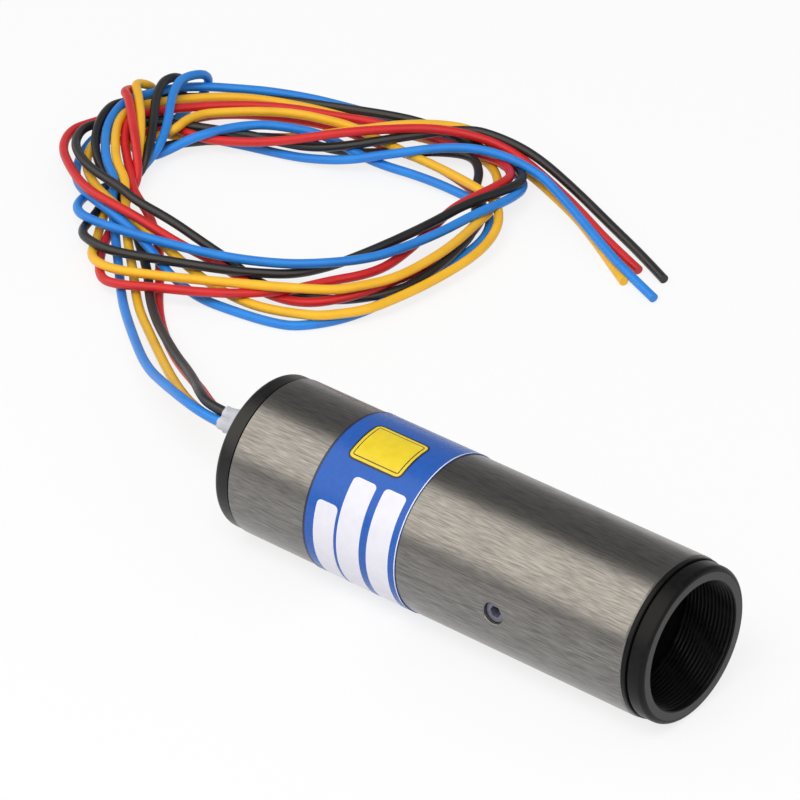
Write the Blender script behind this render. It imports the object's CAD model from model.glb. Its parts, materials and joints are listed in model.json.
import json
import math

import bpy
import numpy as np
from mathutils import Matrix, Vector
from mathutils.noise import noise as noise_value


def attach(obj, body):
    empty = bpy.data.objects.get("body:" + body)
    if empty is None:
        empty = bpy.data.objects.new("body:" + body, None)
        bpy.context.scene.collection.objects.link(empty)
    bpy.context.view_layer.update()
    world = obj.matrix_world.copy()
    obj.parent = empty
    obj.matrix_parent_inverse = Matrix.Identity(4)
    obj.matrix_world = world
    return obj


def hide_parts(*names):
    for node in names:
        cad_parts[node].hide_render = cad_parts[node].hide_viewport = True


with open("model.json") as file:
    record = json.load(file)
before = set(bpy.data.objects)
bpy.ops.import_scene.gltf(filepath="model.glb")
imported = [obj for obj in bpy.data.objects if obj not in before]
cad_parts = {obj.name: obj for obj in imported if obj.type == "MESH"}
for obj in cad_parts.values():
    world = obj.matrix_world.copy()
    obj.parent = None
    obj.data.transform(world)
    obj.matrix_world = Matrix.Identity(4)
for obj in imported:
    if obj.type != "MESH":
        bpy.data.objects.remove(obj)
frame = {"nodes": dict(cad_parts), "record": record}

# All places and sizes are in metres, in the frame of the solids.

# Camera
CAMERA_PLACE = Vector((0.30611, -0.37706, 0.33681))
CAMERA_AIM = Vector((-0.02242, 0.01783, 0.0095))
CAMERA_LENS_MM = 236.1
CAMERA_SENSOR_MM = 36.0

# Barrel
AXIS_HEIGHT = 0.0095
BARREL_FRONT = 0.0310

# Nose ring and its thread; the thread's flat and slope are shares of half its pitch
NOSE_FRONT = 0.0337
NOSE_REAR = 0.0245
NOSE_RELIEF_X = 0.02685
NOSE_RELIEF_RADIUS = 0.0079
NOSE_SPIGOT_RADIUS = 0.0085
NOSE_FLANGE_X = 0.0315
NOSE_FLANGE_RADIUS = 0.0094
NOSE_GROOVE_X = 0.0317
NOSE_GROOVE_RADIUS = 0.0089
NOSE_RADIUS = 0.00925
NOSE_FILLET = 0.0006
NOSE_FILLET_STEPS = 8
NOSE_EDGE = 0.0001
NOSE_BORE_EDGE = 0.00012
NOSE_SEGMENTS = 144
THREAD_FRONT = 0.0335
THREAD_RUN_IN = 0.0004
THREAD_CREST = 0.0076
THREAD_DEPTH = 0.0003
THREAD_PITCH = 0.0005
THREAD_FLAT = 0.15
THREAD_SLOPE = 0.7
THREAD_ROWS = 120

# Lead seal, on the cap's rear face round the cluster of leads. Its ragged end reaches beyond
# SEAL_REAR, as far back as the solid's end. Angles go from +Y up, and the pairs are the start and
# the run of a change, as shares of the seal's length.
EXIT_HEIGHT = 0.0016
CLUSTER_RADIUS = 0.00088
LEAD_ANGLES = (0, math.pi / 2, math.pi, -math.pi / 2)
SEAL_FRONT = -0.0273
SEAL_REAR = -0.03355
SEAL_FOOT_RADIUS = 0.0034
SEAL_FOOT_TAPER = 0.10
SEAL_FOOT_RUN = 0.25
SEAL_SHOULDER = (0.18, 0.17)
SEAL_NECK_RADIUS = 0.0023
SEAL_NECK_TAPER = 0.12
SEAL_TIP = (0.45, 0.5)
SEAL_LOBE_RADIUS = 0.00085
SEAL_LUMPS_ALONG = 700
SEAL_LUMPS_ROUND = 1.3
SEAL_LUMPS = 0.07
SEAL_FINE_LUMPS = 0.03
SEAL_FINE_SCALE = 3.1
SEAL_RAGGED = 0.00025
SEAL_RAGGED_ROUND = 5
SEAL_RAGGED_PLACE = 3.7
SEAL_RAGGED_POWER = 4
SEAL_ROWS = 60
SEAL_SEGMENTS = 96

# Label and its print: X in metres, angles in degrees from the top towards +Y
LABEL_RADIUS = 0.0096
LABEL_SPAN = (159, -159)
LAYER = 0.000012
PRINT_COLOURS = (("print_white", (0.72, 0.71, 0.78), (0.76, 0.75, 0.82)),
                 ("print_yellow", (0.76, 0.56, 0.015), (0.82, 0.62, 0.02)),
                 ("print_dark", (0.012, 0.014, 0.04), (0.018, 0.02, 0.055)))
WHITE, YELLOW, DARK = range(len(PRINT_COLOURS))
PRINT_BOTTOM = -150
PRINT_BOXES = ((-0.01225, -0.00927, -64), (-0.00886, -0.00559, -40), (-0.00454, -0.00142, -39))
BOX_CORNER = 0.0006
PATCH = (-0.0114, -0.0036, 6, -31)
PATCH_CORNER = 0.0009
PATCH_LAYERS = ((DARK, 0), (YELLOW, 0.00025), (DARK, 0.0006), (YELLOW, 0.00072))
EDGE_CORNER = 0.00005
EDGE_LINES = ((WHITE, -0.00056, -0.00042), (DARK, -0.0138, -0.01352))
ROW_STEP = 2
CORNER_ROWS = 9

# The fold in degrees at which an edge of a mesh turns sharp
NOSE_SHARP = 28
SEAL_SHARP = 60
PRINT_SHARP = 30

# Light. What gloss sees of the room depends on its direction: the bright wall starts within the
# two spans of Y and Z, and the rest dims up to GLOSS_HIGH_Z.
AMBIENT = 0.55
GLOSS_LOW = 0.45
GLOSS_HIGH = 0.22
GLOSS_HIGH_Z = 0.85
GLOSS_FRONT = 2.2
GLOSS_FRONT_COLOUR = (1.0, 0.95, 0.86)
GLOSS_FRONT_Y = (-0.12, 0.12)
GLOSS_FRONT_Z = (0.12, 0.35)
KEY_PLACE = (0.1, -0.35, 0.55)
KEY_AIM = (-0.03, 0.02, 0.01)
KEY_SIZE = (0.5, 0.3)
KEY_POWER = 3.0

# Floor
FLOOR_REACH = 3.0
FLOOR_COLOUR = (0.9, 0.9, 0.9, 1)
FLOOR_ROUGHNESS = 0.9
FLOOR_GLOW = 0.8

# Leads
LEAD_DIAMETER = 0.0012
LEAD_TUBE_STEPS = 5
LEAD_SPAN_STEPS = 8
COLOURS = ("red", "black", "yellow", "blue")
LOOP_MIDDLE = (-0.0710, 0.0540)

# The two passes of each lead round the hank, clockwise: the angle in degrees about LOOP_MIDDLE,
# the radius in mm and the height in mm of each point
PASSES = {
    "blue": (
        ((240.3, 22.8, 0.8), (221.3, 22.1, 1.9), (213.6, 21.8, 3.4), (205.9, 23.6, 3.8),
         (196.4, 25.6, 4.1), (187.3, 27.8, 4.3), (180.2, 29.2, 4.5), (174.1, 30.1, 4.4),
         (167.3, 30.3, 3.8), (159.3, 31.4, 2.8), (151.9, 31.3, 2.1), (144.9, 29.7, 2.0),
         (136.6, 28.7, 1.7), (126.0, 27.4, 1.4), (114.8, 26.4, 1.0), (104.8, 26.1, 0.7), (91.5, 26.4, 0.6),
         (78.1, 27.3, 0.6), (62.2, 29.1, 0.9), (50.3, 29.9, 1.7), (43.1, 29.4, 2.3), (34.3, 27.5, 3.1),
         (23.3, 24.3, 3.5), (6.9, 22.0, 3.5), (-12.1, 20.7, 3.5), (-22.9, 20.2, 3.5), (-37.7, 19.5, 3.6),
         (-51.2, 19.0, 3.5), (-70.7, 18.9, 3.5), (-91.5, 19.9, 3.5), (-107.3, 21.9, 3.3),
         (-119.5, 24.7, 3.0), (-130.0, 26.8, 2.4), (-141.9, 25.9, 1.2), (-150.6, 23.4, 0.7)),
        ((-175.6, 22.3, 1.6), (-182.0, 21.1, 1.9), (-188.2, 20.1, 2.4), (-194.1, 19.1, 2.6),
         (-203.8, 18.7, 2.6), (-216.3, 18.3, 2.6), (-226.2, 17.6, 2.5), (-242.9, 16.8, 2.2),
         (-256.9, 15.5, 1.7), (-275.7, 15.2, 1.3), (-296.0, 18.4, 1.1), (-311.4, 22.1, 1.0),
         (-320.5, 24.8, 0.9), (-329.1, 25.6, 0.8), (-339.4, 25.3, 0.7), (-357.2, 24.0, 0.6),
         (-375.4, 24.5, 0.6), (-392.8, 27.0, 0.6), (-406.6, 28.1, 0.6), (-413.8, 27.3, 0.6),
         (-425.1, 25.5, 0.7), (-436.5, 24.4, 0.8), (-449.2, 22.7, 1.3), (-463.0, 21.1, 2.1),
         (-476.2, 21.2, 2.8), (-488.5, 22.8, 3.0), (-500.3, 25.2, 2.6), (-507.6, 26.7, 2.2),
         (-514.0, 27.6, 2.2), (-520.8, 28.2, 2.0), (-528.1, 28.8, 2.0), (-533.2, 28.8, 2.0),
         (-540.0, 27.9, 2.0), (-548.2, 25.6, 1.4), (-554.7, 22.2, 0.6), (-569.7, 16.6, 0.6),
         (-584.3, 13.4, 0.7), (-602.9, 11.6, 1.0), (-628.7, 12.1, 1.8), (-644.1, 15.2, 2.9)),
    ),
    "yellow": (
        ((244.0, 21.7, 0.8), (224.6, 20.4, 1.8), (213.8, 20.5, 3.1), (205.2, 22.4, 3.7),
         (193.8, 24.5, 4.1), (184.8, 26.6, 4.2), (178.1, 27.9, 4.1), (169.9, 28.7, 3.4),
         (160.1, 28.5, 2.7), (149.5, 27.8, 2.4), (139.2, 26.6, 2.2), (129.3, 25.4, 1.9),
         (121.2, 25.1, 1.5), (107.9, 24.9, 0.8), (94.8, 24.9, 0.6), (78.8, 27.3, 0.6), (66.5, 28.9, 0.7),
         (56.7, 28.4, 1.1), (45.9, 27.1, 1.5), (33.0, 25.9, 1.9), (24.4, 24.9, 2.3), (12.6, 24.5, 2.6),
         (0.3, 24.5, 2.8), (-16.8, 25.3, 3.0), (-28.9, 25.1, 3.2), (-35.7, 25.0, 3.2), (-46.4, 24.1, 3.4),
         (-61.6, 23.5, 3.4), (-81.4, 24.8, 3.2), (-95.3, 27.3, 3.0), (-101.8, 28.1, 2.7),
         (-110.3, 27.7, 2.0), (-122.4, 24.6, 0.9), (-136.8, 23.1, 0.6), (-148.1, 21.8, 0.6)),
        ((-186.1, 21.3, 3.0), (-192.6, 22.2, 2.9), (-199.0, 22.3, 2.9), (-204.9, 21.7, 2.9),
         (-217.6, 20.4, 3.0), (-231.8, 19.6, 2.9), (-246.5, 18.8, 2.6), (-254.7, 18.9, 2.2),
         (-268.9, 18.4, 1.7), (-284.2, 18.2, 1.9), (-301.5, 20.0, 2.2), (-313.9, 22.5, 2.4),
         (-321.9, 25.1, 2.5), (-327.3, 26.6, 2.5), (-337.7, 27.5, 2.2), (-350.8, 27.4, 2.0),
         (-367.0, 26.9, 1.8), (-380.5, 27.7, 1.9), (-390.2, 28.6, 1.8), (-399.3, 28.3, 1.7),
         (-403.7, 27.9, 1.6), (-414.8, 26.1, 1.5), (-424.4, 24.0, 1.3), (-439.5, 20.6, 0.9),
         (-454.7, 19.3, 1.6), (-471.4, 19.3, 2.4), (-483.6, 20.6, 2.9), (-495.6, 23.0, 3.2),
         (-507.1, 25.3, 2.8), (-517.6, 27.5, 2.2), (-526.4, 28.9, 2.1), (-532.5, 29.1, 2.2),
         (-539.2, 28.4, 2.2), (-546.0, 26.3, 1.5), (-555.3, 20.5, 0.7), (-573.8, 18.9, 0.6),
         (-594.9, 17.7, 0.8), (-609.5, 17.8, 2.0), (-621.7, 18.2, 3.2)),
    ),
    "black": (
        ((247.2, 20.6, 0.8), (226.0, 20.2, 1.6), (209.9, 23.1, 2.6), (203.8, 25.0, 2.9),
         (197.2, 26.9, 3.4), (188.9, 28.8, 3.8), (182.1, 30.0, 4.1), (176.2, 31.0, 3.7),
         (166.1, 30.5, 2.7), (158.5, 30.5, 1.6), (145.8, 28.5, 1.2), (131.2, 26.7, 1.1),
         (119.1, 25.4, 1.3), (107.9, 24.7, 1.7), (97.5, 25.4, 1.8), (89.1, 26.7, 1.6), (75.2, 28.0, 1.6),
         (60.2, 29.5, 1.8), (51.6, 30.7, 2.7), (43.6, 30.6, 3.4), (37.6, 28.1, 3.7), (28.4, 23.4, 3.8),
         (15.7, 21.1, 3.8), (-2.2, 19.2, 3.6), (-19.4, 18.4, 3.0), (-31.1, 18.2, 2.4), (-45.3, 19.0, 2.3),
         (-58.8, 18.9, 2.3), (-70.2, 19.6, 2.5), (-91.1, 21.9, 2.7), (-104.5, 25.6, 2.9),
         (-112.1, 26.7, 2.7), (-121.3, 26.9, 2.1), (-133.7, 24.0, 0.9), (-146.2, 22.9, 0.6)),
        ((-177.2, 22.3, 1.8), (-187.1, 21.1, 1.5), (-200.7, 19.7, 1.1), (-216.1, 18.6, 1.2),
         (-235.0, 17.3, 1.1), (-257.0, 15.8, 1.0), (-276.7, 20.1, 1.2), (-286.7, 24.4, 1.4),
         (-293.6, 26.7, 1.6), (-303.2, 25.8, 1.8), (-313.1, 24.1, 1.8), (-325.2, 24.1, 1.8),
         (-337.7, 24.8, 1.9), (-353.1, 24.6, 1.9), (-369.6, 25.4, 1.7), (-378.8, 25.3, 1.4),
         (-390.6, 24.0, 1.0), (-400.6, 22.7, 0.9), (-411.8, 20.6, 0.7), (-423.3, 18.6, 0.9),
         (-435.2, 16.8, 1.8), (-450.4, 16.6, 3.1), (-468.1, 17.5, 4.4), (-483.6, 20.0, 5.0),
         (-493.2, 21.2, 5.0), (-508.2, 25.9, 4.5), (-519.7, 29.4, 3.9), (-528.5, 30.8, 3.4),
         (-533.7, 30.6, 2.9), (-538.8, 28.5, 2.6), (-547.1, 25.0, 1.9), (-556.9, 21.2, 1.3),
         (-564.2, 18.7, 1.3), (-572.5, 16.9, 1.3), (-583.0, 14.5, 1.5), (-602.0, 13.1, 1.5),
         (-620.7, 14.4, 2.1), (-633.9, 17.3, 3.1)),
    ),
    "red": (
        ((253.0, 18.8, 0.8), (230.8, 17.4, 1.6), (214.9, 19.7, 2.4), (202.3, 21.2, 3.3),
         (190.0, 24.4, 3.7), (180.2, 26.7, 4.1), (174.7, 26.3, 3.8), (163.6, 25.7, 3.0),
         (152.2, 24.6, 2.6), (140.7, 23.6, 2.4), (128.1, 22.5, 2.3), (115.0, 22.0, 2.0),
         (102.5, 23.0, 1.6), (89.3, 24.2, 1.3), (78.0, 25.4, 1.2), (63.1, 27.7, 1.9), (55.3, 28.7, 2.7),
         (47.2, 28.8, 3.3), (40.7, 26.8, 3.8), (33.4, 23.1, 3.5), (27.7, 20.9, 3.0), (13.5, 19.8, 2.5),
         (-1.7, 19.9, 2.2), (-13.9, 20.7, 2.1), (-24.0, 21.0, 2.2), (-33.9, 20.7, 2.1), (-41.9, 21.4, 2.1),
         (-50.0, 22.9, 2.3), (-59.5, 23.7, 2.4), (-65.4, 24.6, 2.5), (-75.5, 26.2, 2.7),
         (-87.9, 28.2, 2.6), (-95.1, 29.6, 2.2), (-101.8, 29.8, 1.7), (-113.3, 26.6, 1.0),
         (-124.0, 24.1, 0.6)),
        ((-180.5, 23.7, 1.9), (-189.9, 23.3, 1.4), (-202.4, 23.9, 1.6), (-214.3, 23.3, 1.4),
         (-229.5, 22.1, 1.1), (-247.0, 21.3, 0.8), (-269.7, 20.2, 0.6), (-287.0, 21.7, 0.6),
         (-299.7, 23.1, 0.6), (-312.5, 25.1, 0.6), (-324.2, 26.0, 0.6), (-341.8, 24.8, 0.9),
         (-356.9, 24.2, 1.2), (-367.1, 24.7, 1.6), (-378.0, 25.2, 1.9), (-389.6, 25.8, 1.9),
         (-402.6, 25.5, 1.7), (-415.4, 21.4, 1.1), (-430.8, 17.2, 1.3), (-446.3, 16.8, 2.2),
         (-454.5, 17.4, 2.7), (-463.9, 18.2, 3.3), (-477.5, 19.7, 3.9), (-487.9, 22.0, 4.1),
         (-499.3, 25.2, 3.9), (-511.0, 27.9, 3.6), (-520.9, 30.8, 3.2), (-529.5, 32.0, 2.9),
         (-535.1, 31.2, 2.5), (-541.4, 29.7, 2.5), (-547.6, 26.4, 2.1), (-552.9, 19.4, 1.5),
         (-562.1, 16.1, 1.6), (-579.0, 13.4, 2.1), (-601.7, 12.7, 3.1), (-620.6, 14.3, 3.9)),
    ),
}

# The wrap over the left of the hank and the turn hidden under it
WRAP_ROUTES = {
    "blue": [(-0.09030, 0.04692, 0.00061), (-0.09003, 0.04802, 0.00160), (-0.08984, 0.05011, 0.00290),
             (-0.09040, 0.05245, 0.00390), (-0.09246, 0.05584, 0.00460), (-0.09513, 0.05931, 0.00510),
             (-0.09686, 0.06206, 0.00540), (-0.09776, 0.06444, 0.00545), (-0.09740, 0.06790, 0.00480),
             (-0.09800, 0.06980, 0.00280), (-0.09820, 0.06840, 0.00100), (-0.09770, 0.06480, 0.00061),
             (-0.09710, 0.06020, 0.00061), (-0.09680, 0.05600, 0.00061), (-0.09560, 0.05290, 0.00090)],
    "yellow": [(-0.08935, 0.04594, 0.00102), (-0.09022, 0.04732, 0.00250), (-0.09161, 0.04952, 0.00382),
             (-0.09347, 0.05184, 0.00493), (-0.09627, 0.05475, 0.00545), (-0.09939, 0.05760, 0.00558),
             (-0.10183, 0.05960, 0.00541), (-0.10150, 0.06170, 0.00440), (-0.10200, 0.06340, 0.00280),
             (-0.10170, 0.06300, 0.00100), (-0.10060, 0.05980, 0.00061), (-0.09980, 0.05580, 0.00061),
             (-0.09800, 0.05260, 0.00080), (-0.09540, 0.05220, 0.00160), (-0.09360, 0.05520, 0.00220)],
    "black": [(-0.09030, 0.04520, 0.00070), (-0.09014, 0.04746, 0.00166), (-0.09023, 0.04844, 0.00311),
             (-0.09140, 0.05058, 0.00410), (-0.09372, 0.05377, 0.00470), (-0.09682, 0.05753, 0.00490),
             (-0.09861, 0.06015, 0.00502), (-0.09990, 0.06285, 0.00497), (-0.09990, 0.06540, 0.00440),
             (-0.10040, 0.06720, 0.00260), (-0.10020, 0.06640, 0.00100), (-0.09940, 0.06280, 0.00061),
             (-0.09870, 0.05850, 0.00061), (-0.09770, 0.05420, 0.00070), (-0.09570, 0.05200, 0.00120)],
    "red": [(-0.08730, 0.03950, 0.00061), (-0.08956, 0.04523, 0.00137), (-0.09006, 0.04634, 0.00260),
             (-0.09135, 0.04776, 0.00410), (-0.09327, 0.04972, 0.00520), (-0.09647, 0.05285, 0.00567),
             (-0.09966, 0.05595, 0.00577), (-0.10143, 0.05716, 0.00545), (-0.10230, 0.06000, 0.00430),
             (-0.10260, 0.06170, 0.00280), (-0.10220, 0.06140, 0.00100), (-0.10120, 0.05860, 0.00061),
             (-0.10040, 0.05500, 0.00061), (-0.09890, 0.05220, 0.00070), (-0.09640, 0.05160, 0.00140)],
}

# From the seal to the hank
EXIT_ROUTES = {
    "blue": [(-0.03370, -0.00088, 0.01110), (-0.03610, -0.00088, 0.01110), (-0.04040, 0.00050, 0.01060),
             (-0.04660, 0.00410, 0.00840), (-0.05440, 0.00910, 0.00540), (-0.06400, 0.01710, 0.00250),
             (-0.07150, 0.02350, 0.00100), (-0.07700, 0.02900, 0.00070)],
    "yellow": [(-0.03370, 0.00000, 0.01022), (-0.03610, 0.00000, 0.01022), (-0.04030, 0.00180, 0.00930),
             (-0.04560, 0.00540, 0.00740), (-0.05270, 0.01090, 0.00490), (-0.06270, 0.01890, 0.00200),
             (-0.06940, 0.02400, 0.00090), (-0.07500, 0.02950, 0.00070)],
    "black": [(-0.03370, 0.00000, 0.01198), (-0.03610, 0.00000, 0.01198), (-0.03880, 0.00150, 0.01170),
             (-0.04300, 0.00520, 0.00980), (-0.04820, 0.00950, 0.00740), (-0.05270, 0.01270, 0.00580),
             (-0.05880, 0.01740, 0.00380), (-0.06400, 0.02140, 0.00240), (-0.06850, 0.02520, 0.00200),
             (-0.07270, 0.02960, 0.00190)],
    "red": [(-0.03370, 0.00088, 0.01110), (-0.03610, 0.00088, 0.01110), (-0.03900, 0.00290, 0.01020),
             (-0.04280, 0.00610, 0.00830), (-0.04780, 0.00990, 0.00600), (-0.05240, 0.01320, 0.00420),
             (-0.05840, 0.01780, 0.00210), (-0.06380, 0.02220, 0.00100), (-0.06800, 0.02620, 0.00065),
             (-0.07190, 0.03090, 0.00062)],
}

# From the hank to the cut ends
END_ROUTES = {
    "blue": [(-0.0610, 0.0752, 0.0037), (-0.0553, 0.0773, 0.0038), (-0.0493, 0.0776, 0.0032),
             (-0.0452, 0.0765, 0.0025), (-0.0406, 0.0744, 0.0021), (-0.0353, 0.0716, 0.0019),
             (-0.0304, 0.0691, 0.00175), (-0.0262, 0.0677, 0.0011), (-0.0222, 0.0664, 0.00062)],
    "yellow": [(-0.0703, 0.0750, 0.0039), (-0.0670, 0.0786, 0.0038), (-0.0626, 0.0812, 0.0035),
               (-0.0579, 0.0805, 0.0019), (-0.0521, 0.0799, 0.0009), (-0.0463, 0.0778, 0.00062),
               (-0.0412, 0.0755, 0.00062), (-0.0360, 0.0725, 0.00062), (-0.0317, 0.0698, 0.00062),
               (-0.0275, 0.0672, 0.00062)],
    "black": [(-0.0634, 0.0803, 0.0035), (-0.0584, 0.0814, 0.0036), (-0.0525, 0.0814, 0.0030),
              (-0.0442, 0.0790, 0.0020), (-0.0357, 0.0758, 0.0012), (-0.0297, 0.0735, 0.0008),
              (-0.0240, 0.0708, 0.00062)],
    "red": [(-0.0691, 0.0736, 0.0035), (-0.0656, 0.0768, 0.0035), (-0.0620, 0.0794, 0.0032),
            (-0.0581, 0.0810, 0.0027), (-0.0533, 0.0803, 0.0024), (-0.0474, 0.0782, 0.0021),
            (-0.0414, 0.0757, 0.00195), (-0.0355, 0.0730, 0.0016), (-0.0314, 0.0717, 0.0010),
            (-0.0277, 0.0705, 0.00062)],
}

# How the strands settle
KEPT_END_POINTS = 6
SETTLE_ROUNDS = 400
SETTLE_REFRESH = 20
SETTLE_GAP = 0.00124
SETTLE_SEARCH = 0.0034
SETTLE_SAME_LEAD = 0.006
SETTLE_PUSH_SHARE = 1.6
SETTLE_SMOOTH_SHARE = 0.3
SETTLE_SIDEWAYS_SHARE = 0.5
SETTLE_FALL = 0.000006
LEAST_DISTANCE = 1e-7
LOWEST_CENTRE = 0.000606
SAMPLES_PER_SPAN = 6

# The part of a noise's values over which colours and numbers change
NOISE_LOW = 0.3
NOISE_HIGH = 0.7

# Brushed metal: the scale, stretch and detail of its streaks, and what they change
FINE_STREAKS = (7000, (0.07, 1, 1), 6)
FINE_COLOURS = ((0.15, 0.144, 0.137), (0.285, 0.273, 0.262))
FINE_ROUGHNESS = (0.33, 0.27)
FINE_RELIEF = 0.000002
BROAD_STREAKS = (1500, (0.05, 1, 1), 3)
BROAD_SHADES = ((0.93, 0.93, 0.93), (1.0, 1.0, 1.0), 0.35, 0.6)

# Finishes with one noise, as the values of surface()
BLACK_FINISH = dict(low=(0.004, 0.004, 0.0045), high=(0.007, 0.0068, 0.007), scale=1400,
                    roughness=(0.3, 0.42), relief=0.000004)
BLACK_SPECULAR = 0.2
NOSE_SPECULAR = 0.14
CAP_SPECULAR = 0.34
NOSE_FACE = dict(low=(0.042, 0.042, 0.044), high=(0.056, 0.055, 0.057), scale=1400,
                 roughness=(0.4, 0.5), specular=0.2)
SEALANT = dict(low=(0.48, 0.49, 0.53), high=(0.58, 0.59, 0.63), scale=700,
               roughness=(0.4, 0.6), relief=0.00008)
PRINT_FINISH = dict(scale=900, roughness=(0.3, 0.4))
INSULATION_FINISH = dict(scale=260, roughness=(0.34, 0.46), relief=0.00002)
INSULATION_COLOURS = {
    "red": ((0.56, 0.012, 0.014), (0.66, 0.02, 0.022)),
    "black": ((0.010, 0.010, 0.011), (0.016, 0.015, 0.016)),
    "yellow": ((0.86, 0.45, 0.015), (0.95, 0.52, 0.025)),
    "blue": ((0.012, 0.20, 0.66), (0.02, 0.25, 0.76)),
}
SLOT_FINISHES = {
    "coated_glass": dict(low=(0.55, 0.68, 0.85), high=(0.62, 0.74, 0.9), scale=200,
                         roughness=(0.02, 0.05)),
    "spring_steel": dict(low=(0.40, 0.40, 0.41), high=(0.5, 0.5, 0.51), scale=900,
                         roughness=(0.22, 0.34), metallic=1.0),
    "brass_block": dict(low=(0.50, 0.37, 0.17), high=(0.60, 0.46, 0.22), scale=1500,
                        stretch=(0.1, 1, 1), roughness=(0.25, 0.4), metallic=1.0, relief=0.000005),
    "gold_plate": dict(low=(0.75, 0.55, 0.2), high=(0.85, 0.65, 0.28), scale=700,
                       roughness=(0.18, 0.3), metallic=1.0),
    "dark_chip": dict(low=(0.04, 0.04, 0.05), high=(0.07, 0.07, 0.08), scale=2500,
                      roughness=(0.15, 0.25)),
    "blackened_steel": dict(low=(0.17, 0.17, 0.22), high=(0.21, 0.21, 0.265), scale=1400,
                            roughness=(0.4, 0.5), metallic=0.5, relief=0.000004),
    "green_board": dict(low=(0.012, 0.15, 0.045), high=(0.02, 0.2, 0.06), scale=500,
                        roughness=(0.3, 0.42), relief=0.000008),
    "moulded_black": dict(low=(0.014, 0.014, 0.015), high=(0.026, 0.026, 0.027), scale=2200,
                          roughness=(0.5, 0.65), relief=0.00001),
    "can_metal": dict(low=(0.55, 0.55, 0.56), high=(0.66, 0.66, 0.67), scale=900,
                      stretch=(1, 1, 0.1), roughness=(0.28, 0.4), metallic=0.9),
    "ferrite": dict(low=(0.045, 0.04, 0.038), high=(0.085, 0.075, 0.07), scale=1300,
                    roughness=(0.5, 0.7), relief=0.00002),
    "blue_moulding": dict(low=(0.02, 0.1, 0.4), high=(0.035, 0.14, 0.5), scale=600,
                          roughness=(0.35, 0.5)),
    "blue_film": dict(low=(0.017, 0.095, 0.40), high=(0.020, 0.106, 0.435), scale=1200,
                      roughness=(0.24, 0.32), specular=0.3),
}

# The nodes whose finish isn't their slot's
OWN_FINISHES = {"rear_cap": "cap_black"}

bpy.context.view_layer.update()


# Leads

def pass_points(rows):
    """Control points of one pass round the hank, from their angles, radii and heights."""
    return [(LOOP_MIDDLE[0] + radius * math.cos(math.radians(angle)) / 1000,
             LOOP_MIDDLE[1] + radius * math.sin(math.radians(angle)) / 1000, height / 1000)
            for angle, radius, height in rows]


def lead_route(colour):
    """All control points of a lead, from the seal to its cut end."""
    first, second = PASSES[colour]
    return np.array(EXIT_ROUTES[colour] + pass_points(first) + WRAP_ROUTES[colour]
                    + pass_points(second) + END_ROUTES[colour])


def spline_matrix(count):
    """The matrix that turns a lead's control points into samples of its quadratic spline."""
    spans = count - 2
    knots = np.concatenate([[0, 0], np.arange(spans + 1), [spans, spans]])
    samples = np.linspace(0, spans, spans * SAMPLES_PER_SPAN + 1)
    matrix = np.zeros((len(samples), count))
    for row, at in zip(matrix, samples):
        span = min(int(at), spans - 1)
        k = span + 2
        high = (at - knots[k]) / (knots[k + 1] - knots[k])
        left = (1 - high) * (knots[k + 1] - at) / (knots[k + 1] - knots[k - 1])
        right = high * (at - knots[k]) / (knots[k + 2] - knots[k])
        row[span:span + 3] = (left, 1 - left - right, right)
    return matrix


def close_pairs(points, owner, along):
    """Pairs of samples that may touch: of two leads, or of one lead but well apart along it."""
    apart = np.linalg.norm(points[:, None] - points[None], axis=2)
    first, second = np.nonzero(np.triu(apart < SETTLE_SEARCH, 1))
    near = np.abs(along[first] - along[second]) < SETTLE_SAME_LEAD
    neighbours = (owner[first] == owner[second]) & near
    return first[~neighbours], second[~neighbours]


def sample_pushes(points, pairs, fall):
    """How far each sample has to move for the leads to lie on the floor and beside each other."""
    first, second = pairs
    between = points[first] - points[second]
    distance = np.maximum(np.linalg.norm(between, axis=1), LEAST_DISTANCE)
    deep = distance < SETTLE_GAP
    first, second, between, distance = first[deep], second[deep], between[deep], distance[deep]
    half = between * ((SETTLE_GAP - distance) / distance / 2)[:, None]
    half[:, :2] *= SETTLE_SIDEWAYS_SHARE
    push = np.zeros_like(points)
    hits = np.zeros(len(points))
    np.add.at(push, first, half)
    np.add.at(push, second, -half)
    np.add.at(hits, first, 1)
    np.add.at(hits, second, 1)
    push /= np.maximum(hits, 1)[:, None]
    push[:, 2] -= fall
    low = LOWEST_CENTRE - points[:, 2]
    push[:, 2] = np.where(low > 0, np.maximum(push[:, 2], low), push[:, 2])
    return push


def smoothed(moves):
    """The moves of a lead's control points, each a little nearer to its neighbours' moves."""
    even = np.zeros_like(moves)
    even[1:-1] = (moves[:-2] + moves[2:]) / 2 - moves[1:-1]
    return moves + SETTLE_SMOOTH_SHARE * even


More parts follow.
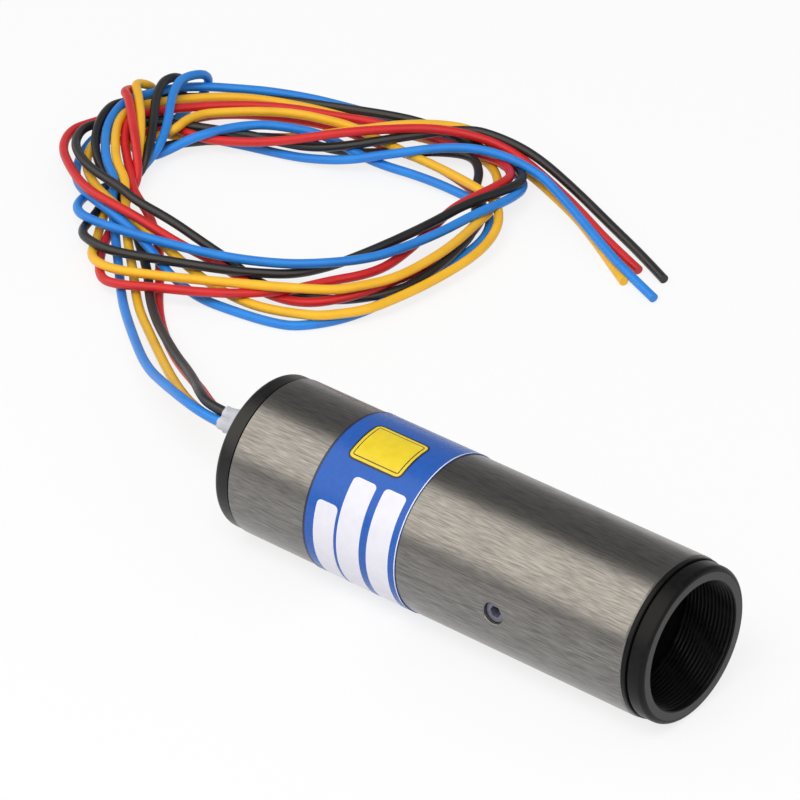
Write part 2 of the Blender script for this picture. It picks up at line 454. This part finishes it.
def settle(routes, kept_starts):
    """The leads' routes with their strands pushed apart, towards lying on and beside each other."""
    matrices = [spline_matrix(len(route)) for route in routes]
    owner = np.repeat(np.arange(len(routes)), [len(matrix) for matrix in matrices])
    lines = [matrix @ route for matrix, route in zip(matrices, routes)]
    along = np.concatenate([
        np.cumsum(np.linalg.norm(np.diff(line, axis=0, prepend=line[:1]), axis=1))
        for line in lines])
    cuts = np.cumsum([len(line) for line in lines])[:-1]
    moves = [np.zeros_like(route) for route in routes]
    for step in range(SETTLE_ROUNDS):
        points = np.concatenate([matrix @ (route + move)
                                 for matrix, route, move in zip(matrices, routes, moves)])
        if step % SETTLE_REFRESH == 0:
            pairs = close_pairs(points, owner, along)
        pushes = sample_pushes(points, pairs, SETTLE_FALL * (1 - step / SETTLE_ROUNDS))
        for i, (matrix, push) in enumerate(zip(matrices, np.split(pushes, cuts))):
            pushed = SETTLE_PUSH_SHARE * (matrix.T @ push) / matrix.sum(0)[:, None]
            move = smoothed(moves[i] + pushed)
            move[:kept_starts[i]] = 0
            move[-KEPT_END_POINTS:] = 0
            moves[i] = move
    for route, move in zip(routes, moves):
        route += move
        route[:, 2] = np.maximum(route[:, 2], LOWEST_CENTRE)
    return routes


def lead_curve(name, points):
    """A lead's spline; its tube's radius is set at the points, which keeps its box true."""
    curve = bpy.data.curves.new(name, "CURVE")
    curve.dimensions = "3D"
    curve.bevel_depth = 1.0
    curve.bevel_resolution = LEAD_TUBE_STEPS
    curve.use_fill_caps = True
    spline = curve.splines.new("NURBS")
    spline.points.add(len(points) - 1)
    for control, place in zip(spline.points, points):
        control.co = (*place, 1)
        control.radius = LEAD_DIAMETER / 2
    spline.order_u = 3
    spline.use_endpoint_u = True
    spline.resolution_u = LEAD_SPAN_STEPS
    piece = bpy.data.objects.new(name, curve)
    bpy.context.scene.collection.objects.link(piece)
    return piece


def spline_length(points):
    line = spline_matrix(len(points)) @ points
    return float(np.linalg.norm(np.diff(line, axis=0), axis=1).sum())


def make_leads():
    kept_starts = [len(EXIT_ROUTES[colour]) - 1 for colour in COLOURS]
    routes = settle([lead_route(colour) for colour in COLOURS], kept_starts)
    for colour, route in zip(COLOURS, routes):
        lead = lead_curve(f"{colour}_lead", route)
        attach(lead, "root")
        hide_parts(f"{colour}_lead_exit", f"{colour}_lead_end", "lead_hank")
        spline_length(route)
        lead.data.materials.append(insulation(colour))


# Meshes

def mesh_piece(name, vertices, faces, sharp):
    """A smooth piece of the given faces, with its edges sharp where they fold by more than sharp."""
    mesh = bpy.data.meshes.new(name)
    mesh.from_pydata(vertices, [], faces)
    mesh.update()
    mesh.polygons.foreach_set("use_smooth", [True] * len(mesh.polygons))
    mesh.set_sharp_from_angle(angle=math.radians(sharp))
    piece = bpy.data.objects.new(name, mesh)
    bpy.context.scene.collection.objects.link(piece)
    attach(piece, "root")
    return piece


def ring_faces(rings, count, closed):
    """Faces between rings of count vertices each; closed joins the last ring to the first."""
    faces = []
    for row in range(rings if closed else rings - 1):
        low, high = row * count, (row + 1) % rings * count
        for k in range(count):
            after = (k + 1) % count
            faces.append((low + k, low + after, high + after, high + k))
    return faces


def arc(middle, radius, start, end, steps):
    """Points of an arc in (X, radius), with its angles in degrees."""
    angles = [math.radians(start + (end - start) * k / steps) for k in range(steps + 1)]
    return [(middle[0] + radius * math.cos(a), middle[1] + radius * math.sin(a)) for a in angles]


def angles_round(count):
    """The angles in radians of count points round a circle."""
    return [2 * math.pi * k / count for k in range(count)]


def on_barrel(x, radius, angle):
    """A point at an angle round the barrel, in radians from the top towards +Y."""
    return (x, radius * math.sin(angle), AXIS_HEIGHT + radius * math.cos(angle))


def rise(value, start, run):
    """A share that grows from 0 to 1 while the value goes from start to the end of run."""
    return min(max((value - start) / run, 0), 1)


def eased(share):
    """The same share with a soft start and end."""
    return share * share * (3 - 2 * share)


# Nose ring

def thread_radius(x, turn):
    """The bore's radius at a place along the thread: a flat crest, a slope and a flat root."""
    phase = (x / THREAD_PITCH - turn) % 1
    wave = rise(1 - abs(2 * phase - 1), THREAD_FLAT, THREAD_SLOPE)
    return THREAD_CREST + THREAD_DEPTH * wave * rise(THREAD_FRONT - x, 0, THREAD_RUN_IN)


def nose_outline():
    """The nose ring's (X, radius) outline, from the rear of its bore round the outside to its face."""
    fillet_middle = (NOSE_FRONT - NOSE_FILLET, NOSE_RADIUS - NOSE_FILLET)
    return [
        (NOSE_RELIEF_X, NOSE_RELIEF_RADIUS),
        (NOSE_REAR, NOSE_RELIEF_RADIUS),
        (NOSE_REAR, NOSE_SPIGOT_RADIUS),
        (BARREL_FRONT, NOSE_SPIGOT_RADIUS),
        (BARREL_FRONT, NOSE_FLANGE_RADIUS),
        (NOSE_FLANGE_X - NOSE_EDGE, NOSE_FLANGE_RADIUS),
        (NOSE_FLANGE_X, NOSE_FLANGE_RADIUS - NOSE_EDGE),
        (NOSE_FLANGE_X, NOSE_GROOVE_RADIUS),
        (NOSE_GROOVE_X, NOSE_GROOVE_RADIUS),
        (NOSE_GROOVE_X, NOSE_RADIUS - NOSE_EDGE),
        (NOSE_GROOVE_X + NOSE_EDGE, NOSE_RADIUS),
        *arc(fillet_middle, NOSE_FILLET, 90, 0, NOSE_FILLET_STEPS),
        (NOSE_FRONT, THREAD_CREST + NOSE_BORE_EDGE),
        (NOSE_FRONT - NOSE_BORE_EDGE, THREAD_CREST),
    ]


def make_nose():
    """The nose ring with its inner thread cut as a helix."""
    outline = nose_outline()
    bore = np.linspace(THREAD_FRONT, NOSE_RELIEF_X, THREAD_ROWS)
    vertices = []
    for x, radius in outline:
        vertices += [on_barrel(x, radius, angle) for angle in angles_round(NOSE_SEGMENTS)]
    for x in bore:
        vertices += [on_barrel(x, thread_radius(x, k / NOSE_SEGMENTS), angle)
                     for k, angle in enumerate(angles_round(NOSE_SEGMENTS))]
    faces = ring_faces(len(outline) + len(bore), NOSE_SEGMENTS, closed=True)
    nose = mesh_piece("nose_ring_threaded", vertices, faces, NOSE_SHARP)
    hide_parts("nose_ring")
    nose.data.materials.append(black_finish("nose_black", NOSE_SPECULAR))
    nose.data.materials.append(surface("nose_face", **NOSE_FACE))
    # The flat face lies between the fillet's last point and the bore's edge.
    face = (len(outline) - 3) * NOSE_SEGMENTS
    for polygon in list(nose.data.polygons)[face:face + NOSE_SEGMENTS]:
        polygon.material_index = 1


# Lead seal

def along_seal(x):
    """How far along the sealant a place is, from 0 at its foot to 1 at its end."""
    return (SEAL_FRONT - x) / (SEAL_FRONT - SEAL_REAR)


def lobe_reach(angle, lead_angle):
    """How far a round lobe about one lead reaches from the cluster's middle in a direction."""
    turn = angle - lead_angle
    across = CLUSTER_RADIUS * math.sin(turn)
    if abs(across) >= SEAL_LOBE_RADIUS:
        return 0
    return CLUSTER_RADIUS * math.cos(turn) + math.sqrt(SEAL_LOBE_RADIUS ** 2 - across ** 2)


def seal_radius(x, angle):
    """The sealant's lumpy radius: a foot on the cap, a neck, and a lobe round each lead at its end."""
    along = along_seal(x)
    foot = SEAL_FOOT_RADIUS * (1 - SEAL_FOOT_TAPER * rise(along, 0, SEAL_FOOT_RUN) ** 2)
    neck = SEAL_NECK_RADIUS * (1 - SEAL_NECK_TAPER * along)
    lobe = max(lobe_reach(angle, lead_angle) for lead_angle in LEAD_ANGLES)
    shoulder = eased(rise(along, *SEAL_SHOULDER))
    tip = eased(rise(along, *SEAL_TIP))
    radius = foot * (1 - shoulder) + (neck * (1 - tip) + lobe * tip) * shoulder
    place = Vector((x * SEAL_LUMPS_ALONG, math.cos(angle) * SEAL_LUMPS_ROUND,
                    math.sin(angle) * SEAL_LUMPS_ROUND))
    return radius * (1 + SEAL_LUMPS * noise_value(place)
                     + SEAL_FINE_LUMPS * noise_value(place * SEAL_FINE_SCALE))


def seal_end(x, angle):
    """X of a point of the sealant, moved so that its end is ragged."""
    place = Vector((SEAL_RAGGED_ROUND * math.cos(angle), SEAL_RAGGED_ROUND * math.sin(angle),
                    SEAL_RAGGED_PLACE))
    return x + SEAL_RAGGED * noise_value(place) * along_seal(x) ** SEAL_RAGGED_POWER


def make_seal():
    """The white sealant round the leads, squeezed out of the cap's hole and pulled along them."""
    middle = AXIS_HEIGHT + EXIT_HEIGHT
    vertices = []
    for x in np.linspace(SEAL_FRONT, SEAL_REAR, SEAL_ROWS):
        for angle in angles_round(SEAL_SEGMENTS):
            radius = seal_radius(x, angle)
            vertices.append((seal_end(x, angle), radius * math.cos(angle),
                             middle + radius * math.sin(angle)))
    foot_middle = len(vertices)
    end_middle = foot_middle + 1
    last = foot_middle - SEAL_SEGMENTS
    vertices += [(SEAL_FRONT, 0, middle), (SEAL_REAR + SEAL_RAGGED, 0, middle)]
    faces = ring_faces(SEAL_ROWS, SEAL_SEGMENTS, closed=False)
    for k in range(SEAL_SEGMENTS):
        after = (k + 1) % SEAL_SEGMENTS
        faces.append((after, k, foot_middle))
        faces.append((last + k, last + after, end_middle))
    seal = mesh_piece("lead_sealant", vertices, faces, SEAL_SHARP)
    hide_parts("lead_seal")
    seal.data.materials.append(surface("sealant", **SEALANT))


# Label print

def box_rows(start_x, end_x, start, end, corner):
    """Rows of a box with rounded corners on the label: (angle in degrees, lowest X, highest X)."""
    length = math.radians(abs(end - start)) * LABEL_RADIUS
    steps = math.ceil(abs(end - start) / ROW_STEP) + 1
    distances = sorted({*np.linspace(0, corner, CORNER_ROWS),
                        *np.linspace(corner, length - corner, steps),
                        *np.linspace(length - corner, length, CORNER_ROWS)})
    rows = []
    for distance in distances:
        short = max(corner - distance, distance - (length - corner), 0)
        inset = corner - math.sqrt(max(corner ** 2 - short ** 2, 0))
        angle = start + (end - start) * distance / length
        rows.append((angle, start_x + inset, end_x - inset))
    return rows


def print_shapes():
    """The print's blank boxes, lined patch and edge lines: (place in PRINT_COLOURS, rows, height)."""
    shapes = [(WHITE, box_rows(start, end, top, PRINT_BOTTOM, BOX_CORNER), LAYER)
              for start, end, top in PRINT_BOXES]
    low, high, start, end = PATCH
    for layer, (colour, inset) in enumerate(PATCH_LAYERS, 1):
        turn = math.degrees(inset / LABEL_RADIUS)
        rows = box_rows(low + inset, high - inset, start - turn, end + turn, PATCH_CORNER - inset)
        shapes.append((colour, rows, LAYER * layer))
    for colour, start, end in EDGE_LINES:
        shapes.append((colour, box_rows(start, end, *LABEL_SPAN, EDGE_CORNER), LAYER))
    return shapes


def make_print():
    """The label's generic print, as thin geometry on the band."""
    vertices, faces, colours = [], [], []
    for colour, rows, lift in print_shapes():
        radius = LABEL_RADIUS + lift
        first = len(vertices)
        for angle, low, high in rows:
            turn = math.radians(angle)
            vertices += [on_barrel(low, radius, turn), on_barrel(high, radius, turn)]
        for k in range(first, len(vertices) - 2, 2):
            faces.append((k, k + 1, k + 3, k + 2))
            colours.append(colour)
    printed = mesh_piece("label_print", vertices, faces, PRINT_SHARP)
    printed.data.polygons.foreach_set("material_index", colours)
    for name, low, high in PRINT_COLOURS:
        printed.data.materials.append(surface(name, low, high, **PRINT_FINISH))


# Nodes

def node_material(name):
    material = bpy.data.materials.new(name)
    material.use_nodes = True
    tree = material.node_tree
    return material, tree.nodes, tree.links, tree.nodes["Principled BSDF"]


def noise(nodes, links, scale, stretch, detail=4):
    """A noise texture in the piece's own coordinates; its Fac output."""
    place = nodes.new("ShaderNodeTexCoord")
    mapping = nodes.new("ShaderNodeMapping")
    mapping.inputs["Scale"].default_value = stretch
    texture = nodes.new("ShaderNodeTexNoise")
    texture.inputs["Scale"].default_value = scale
    texture.inputs["Detail"].default_value = detail
    links.new(place.outputs["Object"], mapping.inputs["Vector"])
    links.new(mapping.outputs["Vector"], texture.inputs["Vector"])
    return texture.outputs["Fac"]


def ramp(nodes, links, source, low, high, start=NOISE_LOW, end=NOISE_HIGH):
    """A colour that goes from low to high as the source goes from start to end."""
    blend = nodes.new("ShaderNodeValToRGB")
    blend.color_ramp.elements[0].position = start
    blend.color_ramp.elements[0].color = (*low, 1)
    blend.color_ramp.elements[1].position = end
    blend.color_ramp.elements[1].color = (*high, 1)
    links.new(source, blend.inputs["Fac"])
    return blend.outputs["Color"]


def map_range(nodes, links, source, low, high, start=NOISE_LOW, end=NOISE_HIGH, kind="LINEAR"):
    """A number that goes from low to high as the source goes from start to end."""
    blend = nodes.new("ShaderNodeMapRange")
    blend.interpolation_type = kind
    for name, value in (("From Min", start), ("From Max", end), ("To Min", low), ("To Max", high)):
        blend.inputs[name].default_value = value
    links.new(source, blend.inputs["Value"])
    return blend.outputs["Result"]


def math_node(nodes, links, operation, first, second):
    """The outcome of one operation on two sources."""
    step = nodes.new("ShaderNodeMath")
    step.operation = operation
    links.new(first, step.inputs[0])
    links.new(second, step.inputs[1])
    return step.outputs["Value"]


def bump(nodes, links, source, depth, shader):
    relief = nodes.new("ShaderNodeBump")
    relief.inputs["Strength"].default_value = 1.0
    relief.inputs["Distance"].default_value = depth
    links.new(source, relief.inputs["Height"])
    links.new(relief.outputs["Normal"], shader.inputs["Normal"])


# Materials

def surface(name, low, high, scale, stretch=(1, 1, 1), roughness=(0.4, 0.5), metallic=0.0,
            relief=0.0, specular=0.5):
    """A material whose colour, roughness and relief vary with one noise."""
    material, nodes, links, shader = node_material(name)
    grain = noise(nodes, links, scale, stretch)
    links.new(ramp(nodes, links, grain, low, high), shader.inputs["Base Color"])
    links.new(map_range(nodes, links, grain, *roughness), shader.inputs["Roughness"])
    shader.inputs["Metallic"].default_value = metallic
    shader.inputs["Specular IOR Level"].default_value = specular
    if relief:
        bump(nodes, links, grain, relief, shader)
    return material


def brushed_metal(name):
    """Dark metal brushed lengthwise: fine streaks over broader ones."""
    material, nodes, links, shader = node_material(name)
    fine = noise(nodes, links, *FINE_STREAKS)
    broad = noise(nodes, links, *BROAD_STREAKS)
    blend = nodes.new("ShaderNodeMix")
    blend.data_type = "RGBA"
    blend.blend_type = "MULTIPLY"
    blend.inputs["Factor"].default_value = 1.0
    links.new(ramp(nodes, links, fine, *FINE_COLOURS), blend.inputs["A"])
    links.new(ramp(nodes, links, broad, *BROAD_SHADES), blend.inputs["B"])
    links.new(blend.outputs["Result"], shader.inputs["Base Color"])
    links.new(map_range(nodes, links, fine, *FINE_ROUGHNESS), shader.inputs["Roughness"])
    shader.inputs["Metallic"].default_value = 1.0
    bump(nodes, links, fine, FINE_RELIEF, shader)
    return material


def black_finish(name, specular):
    return surface(name, **BLACK_FINISH, specular=specular)


def insulation(colour):
    return surface(f"{colour}_insulation", *INSULATION_COLOURS[colour], **INSULATION_FINISH)


def solid_finishes():
    """One material for each slot of the kept solids, and the rear cap's own."""
    finishes = {"dark_brushed_metal": brushed_metal("dark_brushed_metal"),
                "black_anodised": black_finish("black_anodised", BLACK_SPECULAR)}
    for name, finish in SLOT_FINISHES.items():
        finishes[name] = surface(name, **finish)
    finishes["cap_black"] = black_finish("cap_black", CAP_SPECULAR)
    for colour in COLOURS:
        finishes[f"{colour}_insulation"] = insulation(colour)
    return finishes


def dress_solids():
    """Each kept solid gets its own finish in place of the plain one."""
    slots = {row["node"]: row["material_slot"] for row in frame["record"]["subparts"]}
    finishes = solid_finishes()
    for name, node in frame["nodes"].items():
        if node.hide_render:
            continue
        node.data.materials.clear()
        node.data.materials.append(finishes[OWN_FINISHES.get(name, slots[name])])


# Stage

def seen_background(nodes, links):
    """1 for the rays that see the background: from the camera, in gloss and through glass."""
    rays = nodes.new("ShaderNodeLightPath").outputs
    seen = math_node(nodes, links, "MAXIMUM", rays["Is Camera Ray"], rays["Is Glossy Ray"])
    return math_node(nodes, links, "MAXIMUM", seen, rays["Is Transmission Ray"])


def make_floor():
    """A pale floor that keeps the shadow, and glows for the rays that see the background."""
    corners = [(-FLOOR_REACH, -FLOOR_REACH, 0), (FLOOR_REACH, -FLOOR_REACH, 0),
               (FLOOR_REACH, FLOOR_REACH, 0), (-FLOOR_REACH, FLOOR_REACH, 0)]
    mesh = bpy.data.meshes.new("floor")
    mesh.from_pydata(corners, [], [(0, 1, 2, 3)])
    floor = bpy.data.objects.new("floor", mesh)
    bpy.context.scene.collection.objects.link(floor)
    material, nodes, links, shader = node_material("floor")
    shader.inputs["Base Color"].default_value = FLOOR_COLOUR
    shader.inputs["Roughness"].default_value = FLOOR_ROUGHNESS
    glow = nodes.new("ShaderNodeEmission")
    pale = nodes.new("ShaderNodeMixShader")
    pale.inputs["Fac"].default_value = FLOOR_GLOW
    links.new(shader.outputs["BSDF"], pale.inputs[1])
    links.new(glow.outputs["Emission"], pale.inputs[2])
    choice = nodes.new("ShaderNodeMixShader")
    links.new(seen_background(nodes, links), choice.inputs["Fac"])
    links.new(shader.outputs["BSDF"], choice.inputs[1])
    links.new(pale.outputs["Shader"], choice.inputs[2])
    links.new(choice.outputs["Shader"], nodes["Material Output"].inputs["Surface"])
    floor.data.materials.append(material)


def room_in_gloss(nodes, links):
    """How gloss sees the room: a bright, slightly warm front wall above the table, dim elsewhere.

    Gives the strength of the light, and the share of it that is the wall's.
    """
    way = nodes.new("ShaderNodeTexCoord")
    parts = nodes.new("ShaderNodeSeparateXYZ")
    links.new(way.outputs["Generated"], parts.inputs["Vector"])
    front = map_range(nodes, links, parts.outputs["Y"], 1, 0, *GLOSS_FRONT_Y, "SMOOTHSTEP")
    lift = map_range(nodes, links, parts.outputs["Z"], 0, 1, *GLOSS_FRONT_Z, "SMOOTHSTEP")
    dim = map_range(nodes, links, parts.outputs["Z"], GLOSS_LOW, GLOSS_HIGH, 0, GLOSS_HIGH_Z)
    wall = math_node(nodes, links, "MULTIPLY", front, lift)
    strength = nodes.new("ShaderNodeMix")
    strength.inputs["B"].default_value = GLOSS_FRONT
    links.new(wall, strength.inputs["Factor"])
    links.new(dim, strength.inputs["A"])
    return strength.outputs["Result"], wall


def make_world():
    """White where the camera sees it, softer as light, and a plain unevenly lit room in gloss."""
    world = bpy.data.worlds.new("studio")
    bpy.context.scene.world = world
    world.use_nodes = True
    nodes, links = world.node_tree.nodes, world.node_tree.links
    glossy = nodes.new("ShaderNodeLightPath").outputs["Is Glossy Ray"]
    plain = map_range(nodes, links, seen_background(nodes, links), AMBIENT, 1, 0, 1)
    room, wall = room_in_gloss(nodes, links)
    strength = nodes.new("ShaderNodeMix")
    links.new(glossy, strength.inputs["Factor"])
    links.new(plain, strength.inputs["A"])
    links.new(room, strength.inputs["B"])
    warm = math_node(nodes, links, "MULTIPLY", wall, glossy)
    tint = ramp(nodes, links, warm, (1, 1, 1), GLOSS_FRONT_COLOUR, 0, 1)
    background = nodes["Background"]
    links.new(tint, background.inputs["Color"])
    links.new(strength.outputs["Result"], background.inputs["Strength"])


def area_light(name, place, aim, size, power):
    light = bpy.data.lights.new(name, "AREA")
    light.shape = "RECTANGLE"
    light.size, light.size_y = size
    light.energy = power
    lamp = bpy.data.objects.new(name, light)
    lamp.location = place
    lamp.rotation_euler = (Vector(aim) - Vector(place)).to_track_quat("-Z", "Y").to_euler()
    bpy.context.scene.collection.objects.link(lamp)
    return lamp


def make_camera():
    data = bpy.data.cameras.new("camera")
    data.lens = CAMERA_LENS_MM
    data.sensor_width = CAMERA_SENSOR_MM
    data.sensor_fit = "HORIZONTAL"
    camera = bpy.data.objects.new("camera", data)
    camera.location = CAMERA_PLACE
    camera.rotation_euler = (CAMERA_AIM - CAMERA_PLACE).to_track_quat("-Z", "Y").to_euler()
    bpy.context.scene.collection.objects.link(camera)
    bpy.context.scene.camera = camera


make_camera()
make_leads()
make_nose()
make_seal()
make_print()
dress_solids()
make_floor()
make_world()
area_light("key", KEY_PLACE, KEY_AIM, KEY_SIZE, KEY_POWER).visible_glossy = False
bpy.context.scene.view_settings.view_transform = "Standard"

bpy.context.view_layer.update()
